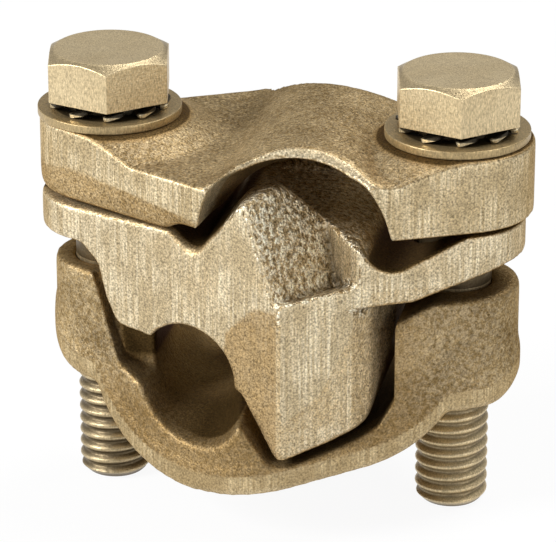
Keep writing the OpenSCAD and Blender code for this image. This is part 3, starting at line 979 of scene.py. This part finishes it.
@dataclass
class HexBolt(Piece):
    """Hex bolt with a chamfered head, a plain shank and a rolled thread. Sizes are in millimetres."""

    node: str
    x: float
    crest_mark: float
    head_turn: float = 11.5
    across_flats: float = 12.7
    head_h: float = 5.1
    flat_d: float = 11.7
    chamfer_slope: float = 30.0
    diameter: float = 7.94
    pitch: float = 1.411
    thread_len: float = 26.2
    thread_depth: float = 0.48
    crest_share: float = 0.1
    flank_share: float = 0.78
    flank_softness: float = 0.62
    runout: float = 2.0
    chamfer: float = 0.8
    shank_step: float = 0.3
    edge_r: float = 0.1
    edge_segments: int = 2
    sharp_angle: float = 24.0
    columns: int = 96
    rows_per_pitch: int = 14
    side_rows: int = 5
    core_rows: tuple[float, ...] = (0.75, 0.4, 0.0)
    thread_shade: float = 0.62
    shank_mark: float = 0.02
    chamfer_marks: tuple[float, ...] = (0.4, 0.26, 0.26, 0.26, 0.3, 0.45)
    finish: SatinBronze = BOLT_BRONZE

    def hexagon(self, angle: Array) -> Array:
        """Radius of the head's outline: the flats' half width over the cosine to the nearest flat."""
        turn = (angle - math.radians(self.head_turn) + CORNER) % (2 * CORNER) - CORNER
        return self.across_flats / 2 / np.cos(turn)

    def thread(self, angle: Array, height: Array) -> Array:
        """Radius of the stud: a rounded ridge that climbs one pitch in each turn.

        The ridge is a softened triangle wave of the height less the turn's share of a pitch. It fades
        into the plain shank above the thread, and a cone cuts it at the end.

        Args:
            angle: Angles about the bolt in radians, in a row.
            height: Heights over the stud's end in millimetres, in a column.

        Returns:
            Radii in millimetres.
        """
        front = math.radians(self.head_turn - 90.0)
        phase = (height - self.chamfer) / self.pitch - (angle - front) / (2 * math.pi)
        wave = 1 - np.abs(2 * (phase - np.floor(phase)) - 1)
        root = np.clip((wave - self.crest_share) / self.flank_share, 0, 1)
        smooth = root * root * (3 - 2 * root)
        root = smooth * self.flank_softness + root * (1 - self.flank_softness)
        fade = np.clip((self.thread_len - height) / (self.runout * self.pitch), 0, 1)
        radius = self.diameter / 2 - self.thread_depth * root * fade
        return np.minimum(radius, self.diameter / 2 - self.chamfer + height)

    def build(self) -> Object:
        """Joins the stud's end, the stud, and the head's bearing face, sides, chamfer and top.

        Returns:
            The finished piece.
        """
        low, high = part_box(self.node)
        end, top = low.z / MM, high.z / MM
        seat = top - self.head_h
        angle = math.radians(self.head_turn) + CORNER + around(self.columns)
        every = np.ones((1, self.columns))
        rows = np.linspace(0, self.thread_len, int(self.thread_len / self.pitch * self.rows_per_pitch))
        height = np.append(rows, [self.thread_len + self.shank_step, seat - end])[:, None]
        stud = self.thread(angle[None, :], height)
        outline = self.hexagon(angle)[None, :]
        flat = self.flat_d / 2
        crown = outline + (flat - outline) * np.linspace(0, 1, len(self.chamfer_marks))[:, None]
        crown_z = top - (crown - flat) * math.tan(math.radians(self.chamfer_slope))
        side = np.linspace(0, 1, self.side_rows, endpoint=False)[:, None]
        core = flat * np.array(self.core_rows)[:, None] * every
        radii = np.concatenate([0 * every, stud, outline.repeat(self.side_rows, 0), crown, core])
        heights = np.concatenate([
            end * every, (end + height) * every, seat + (crown_z[:1] - seat) * side, crown_z,
            np.full_like(core, top),
        ])
        # Low edge marks paint shade in the thread's roots and on the whole plain shank; the chamfer is
        # painted darker
        ridges = self.crest_mark - (self.diameter / 2 - stud) * self.thread_shade
        marks = np.concatenate([
            FLAT_MARK * every, np.where(height < self.thread_len, ridges, self.shank_mark),
            FLAT_MARK * np.ones_like(side) * every, np.array(self.chamfer_marks)[:, None] * every,
            np.full_like(core, FLAT_MARK),
        ])
        points = turned(self.x, radii, heights, angle)
        faces = grid_faces(len(radii), self.columns)
        piece = put(self.node + "_piece", points, faces, {"edge": marks.ravel()}, self.sharp_angle)
        edges = piece.modifiers.new("edges", "BEVEL")
        edges.limit_method = "ANGLE"
        edges.angle_limit = math.radians(self.sharp_angle)
        edges.width = self.edge_r * MM
        edges.segments = self.edge_segments
        return piece


@dataclass
class FlatWasher(Piece):
    """Plain washer: a rounded rectangle turned about the bolt. Sizes are in millimetres."""

    node: str
    x: float
    outer_d: float = 15.6
    inner_r: float = 4.22
    edge_r: float = 0.12
    shade_r: float = 6.0
    shade_fade: float = 0.3
    shade_mark: float = 0.04
    sharp_angle: float = 40.0
    bend_rows: int = 6
    columns: int = 128
    finish: SatinBronze = WASHER_BRONZE

    def build(self) -> Object:
        """Turns the profile, whose four corners are quarter circles, about the bolt.

        The top is painted with shade inside a circle, under the bolt's head.

        Returns:
            The finished piece.
        """
        low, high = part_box(self.node)
        bottom, top = low.z / MM, high.z / MM
        r = self.edge_r
        outer, inner = self.outer_d / 2 - r, self.inner_r + r
        centres = [[outer, bottom + r], [outer, top - r], [inner, top - r], [inner, bottom + r]]
        bend = np.linspace(0, math.pi / 2, self.bend_rows) + np.arange(-1, 3)[:, None] * math.pi / 2
        arcs = np.array(centres)[:, None, :] + r * np.stack([np.cos(bend), np.sin(bend)], -1)
        shaded = np.array([[self.shade_r + self.shade_fade, top], [self.shade_r, top]])
        profile = np.concatenate([*arcs[:2], shaded, *arcs[2:], arcs[0][:1]])
        inside = (profile[:, 0] <= self.shade_r) & (profile[:, 1] > bottom + r)
        marks = np.repeat(np.where(inside, self.shade_mark, FLAT_MARK), self.columns)
        points = turned(self.x, profile[:, :1], profile[:, 1:], around(self.columns))
        faces = grid_faces(len(profile), self.columns)
        return put(self.node + "_piece", points, faces, {"edge": marks}, self.sharp_angle)


@dataclass
class LockWasher(Piece):
    """External-tooth lock washer: a ring whose teeth twist as they go out. Sizes are in millimetres."""

    node: str
    x: float
    outer_d: float = 13.1
    inner_r: float = 4.22
    ring_w: float = 1.0
    ring_t: float = 0.7
    ring_columns: int = 96
    teeth: int = 10
    tooth_w: float = 2.3
    tooth_t: float = 0.55
    tooth_rows: int = 9
    root_share: float = 0.35
    twist: float = 17.0
    twist_share: float = 0.45
    tip_shrink: float = 0.8
    tip_reach: float = 0.7
    tip_span: Span = (-0.05, 0.45)
    tip_mark: float = 0.95
    corner_power: float = 0.35
    section_points: int = 24
    sharp_angle: float = 45.0
    finish: SatinBronze = TOOTH_BRONZE

    def section(self, width: float, height: float) -> Array:
        """Rounded rectangle of a tooth or of the ring, as a closed row of points about its middle.

        Each half size is multiplied by a low power of the cosine or sine, which squares the circle.

        Args:
            width: Width in millimetres.
            height: Thickness in millimetres.

        Returns:
            Two columns: across and up.
        """
        angle = around(self.section_points)
        waves = np.stack([np.cos(angle), np.sin(angle)], 1)
        return np.sign(waves) * np.abs(waves) ** self.corner_power * np.array([width, height]) / 2

    def tooth(self) -> Array:
        """Carries the section outwards with a growing twist, and closes it at both ends.

        Returns:
            Rows of points, each with its reach from the axis, its place across and its height.
        """
        start, tip = self.inner_r + self.ring_w * self.root_share, self.outer_d / 2
        way = np.linspace(0, 1, self.tooth_rows)[:, None]
        turn = math.radians(self.twist) * np.clip(way / self.twist_share, 0, 1)
        shrink = np.where(way < 1, 1.0, self.tip_shrink)
        wide, thick = self.section(self.tooth_w, self.tooth_t).T
        across = (wide * np.cos(turn) - thick * np.sin(turn)) * shrink
        up = (wide * np.sin(turn) + thick * np.cos(turn)) * shrink
        reach = np.broadcast_to(start + (tip - start) * way, across.shape)
        root, cap = (np.tile([end, 0.0, 0.0], (1, self.section_points, 1)) for end in (start, tip))
        return np.concatenate([root, np.stack([reach, across, up], -1), cap])

    def build(self) -> Object:
        """Sets the teeth round the ring. All is painted with shade but the lower side of the teeth's tips.

        Returns:
            The finished piece.
        """
        low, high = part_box(self.node)
        middle = (low.z + high.z) / 2 / MM
        tooth = self.tooth()
        rows, columns = tooth.shape[:2]
        reach, across, up = np.moveaxis(tooth, -1, 0)
        angle = around(self.teeth)[:, None, None]
        teeth = np.stack([
            self.x + reach * np.cos(angle) - across * np.sin(angle),
            reach * np.sin(angle) + across * np.cos(angle),
            middle + up + np.zeros_like(angle),
        ], -1).reshape(-1, 3) * MM
        ring = self.section(self.ring_w, self.ring_t)
        ring = np.concatenate([ring, ring[:1]])
        radius = self.inner_r + self.ring_w / 2 + ring[:, :1]
        hoop = turned(self.x, radius, middle + ring[:, 1:], around(self.ring_columns))
        faces = [grid_faces(rows, columns, i * rows * columns) for i in range(self.teeth)]
        faces.append(grid_faces(len(ring), self.ring_columns, len(teeth)))
        bright = self.tip_mark * rise(-up / self.tooth_t, *self.tip_span)
        bright = bright * (reach > self.outer_d / 2 - self.tip_reach)
        marks = np.concatenate([np.tile(bright.ravel(), self.teeth), np.zeros(len(hoop))])
        points = np.concatenate([teeth, hoop])
        return put(self.node + "_piece", points, np.concatenate(faces), {"edge": marks}, self.sharp_angle)


@dataclass(frozen=True)
class Lamp:
    """Square soft lamp: its place from the target and its side in metres, and its power in watts."""

    name: str
    place: tuple[float, float, float]
    side: float
    power: float


@dataclass
class Studio:
    """White floor, soft lamps and the photograph's camera. Floor and clip are in metres, the rest in mm."""

    target: tuple[float, float, float] = (7.44, 0.0, 8.55)
    azimuth: float = 11.5
    elevation: float = 22.39
    distance: float = 395.0
    lens: float = 234.7
    sensor: float = 36.0
    clip: tuple[float, float] = (0.01, 50.0)
    floor_half: float = 6.0
    floor_drop: float = 5e-5
    floor_colour: Colour = (0.9, 0.9, 0.9, 1.0)
    floor_rough: float = 0.9
    floor_white: float = 0.93
    sky_plain: float = 0.2
    sky_seen: float = 0.32
    lamps: tuple[Lamp, ...] = (
        Lamp("key", (-0.8, -0.53, 0.57), 0.4, 14.5),
        Lamp("fill", (0.8, -0.55, 0.2), 0.35, 2.0),
        Lamp("top", (0.3, 0.3, 0.85), 0.5, 5.2),
    )

    def floor(self) -> None:
        """Lays a wide white floor under the studs that keeps a soft shadow."""
        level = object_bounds()[0][2] - self.floor_drop
        signs = np.array([[-1, -1], [1, -1], [1, 1], [-1, 1]])
        points = np.column_stack([self.floor_half * signs, np.full(len(signs), level)])
        piece = put("floor", points, np.array([[0, 1, 2, 3]]), {})
        g = Graph("floor_white")
        g.set("Base Color", self.floor_colour)
        g.set("Roughness", self.floor_rough)
        glow = g.add("ShaderNodeEmission", {"Color": WHITE, "Strength": 1.0})
        share = g.times(g.seen_rays(), self.floor_white)
        mix = g.add("ShaderNodeMixShader", {0: share, 1: g.shader.outputs["BSDF"], 2: glow.outputs[0]})
        g.join(mix.outputs[0], g.output.inputs["Surface"])
        piece.data.materials.append(g.material)
        piece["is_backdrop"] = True

    def sky(self) -> None:
        """Surrounds the scene with an even white light, stronger for what the metal reflects."""
        world = bpy.data.worlds.new("studio")
        world.use_nodes = True
        nodes = Nodes(world.node_tree)
        inputs = {"Value": nodes.seen_rays(), "To Min": self.sky_plain, "To Max": self.sky_seen}
        back = world.node_tree.nodes["Background"].inputs
        nodes.join(WHITE, back["Color"])
        nodes.join(nodes.add("ShaderNodeMapRange", inputs).outputs[0], back["Strength"])
        bpy.context.scene.world = world

    def aimed(self, name: str, data: bpy.types.ID, place: Array) -> Object:
        """Adds a lamp or a camera that faces the target.

        Args:
            name: Name of the object.
            data: The lamp's or the camera's own data.
            place: Place in metres from the target.

        Returns:
            The new object.
        """
        target = np.array(self.target) * MM
        holder = bpy.data.objects.new(name, data)
        holder.location = target + place
        holder.rotation_euler = (holder.location - Vector(target)).to_track_quat("Z", "Y").to_euler()
        bpy.context.scene.collection.objects.link(holder)
        return holder

    def light(self) -> None:
        """Hangs the lamps."""
        for lamp in self.lamps:
            light = bpy.data.lights.new(lamp.name, "AREA")
            light.shape = "SQUARE"
            light.size = lamp.side
            light.energy = lamp.power
            self.aimed(lamp.name, light, np.array(lamp.place))

    def camera(self) -> None:
        """Sets the camera at the photograph's angle and distance."""
        az, el = math.radians(self.azimuth), math.radians(self.elevation)
        way = np.array([math.sin(az) * math.cos(el), -math.cos(az) * math.cos(el), math.sin(el)])
        data = bpy.data.cameras.new("camera")
        data.sensor_width = self.sensor
        data.sensor_fit = "HORIZONTAL"
        data.lens = self.lens
        data.clip_start, data.clip_end = self.clip
        bpy.context.scene.camera = self.aimed("camera", data, way * self.distance * MM)

    def build(self) -> None:
        """Sets up the floor, the surroundings, the lamps and the camera."""
        self.floor()
        self.sky()
        self.light()
        self.camera()
        bpy.context.scene.view_settings.view_transform = "Standard"


def main() -> None:
    """Builds the clamp's pieces on the frame and lights them."""
    logging.basicConfig(level=logging.INFO, format="%(message)s")
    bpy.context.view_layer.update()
    cap = BronzeCasting("cap_bronze")
    saddle = BronzeCasting(
        "saddle_bronze", cast_dark=tone(158, 136, 98), cast_light=tone(204, 181, 140),
        ground_dark=tone(168, 148, 111), ground_light=tone(232, 218, 187), grain_mm=0.6,
    )
    base = BronzeCasting(
        "base_bronze", cast_dark=tone(122, 101, 66), cast_light=tone(178, 155, 114),
        ground_dark=tone(154, 132, 94), ground_light=tone(202, 182, 143), dusk=tone(134, 108, 67),
        grain_mm=0.5, speck=2.4,
    )
    CapCasting("cap", cap, cell_mm=0.23, soften=8).dress("cap", "cap")
    SaddleCasting("saddle", saddle, cell_mm=0.27, soften=8, round_steps=40).dress("saddle", "saddle")
    BaseCasting("base", base, cell_mm=0.27, soften=16).dress("base", "base")
    for side in Side:
        bolt = "bolt_" + side.value
        low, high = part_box(bolt)
        x = (low.x + high.x) / 2 / MM
        HexBolt(bolt, x, THREAD_CREST[side]).dress(bolt, "bolts")
        FlatWasher("flat_washer_" + side.value, x).dress("cap", "washers")
        LockWasher("lock_washer_" + side.value, x).dress("cap", "lock_washers")
    Studio().build()


if __name__ == "__main__":
    main()
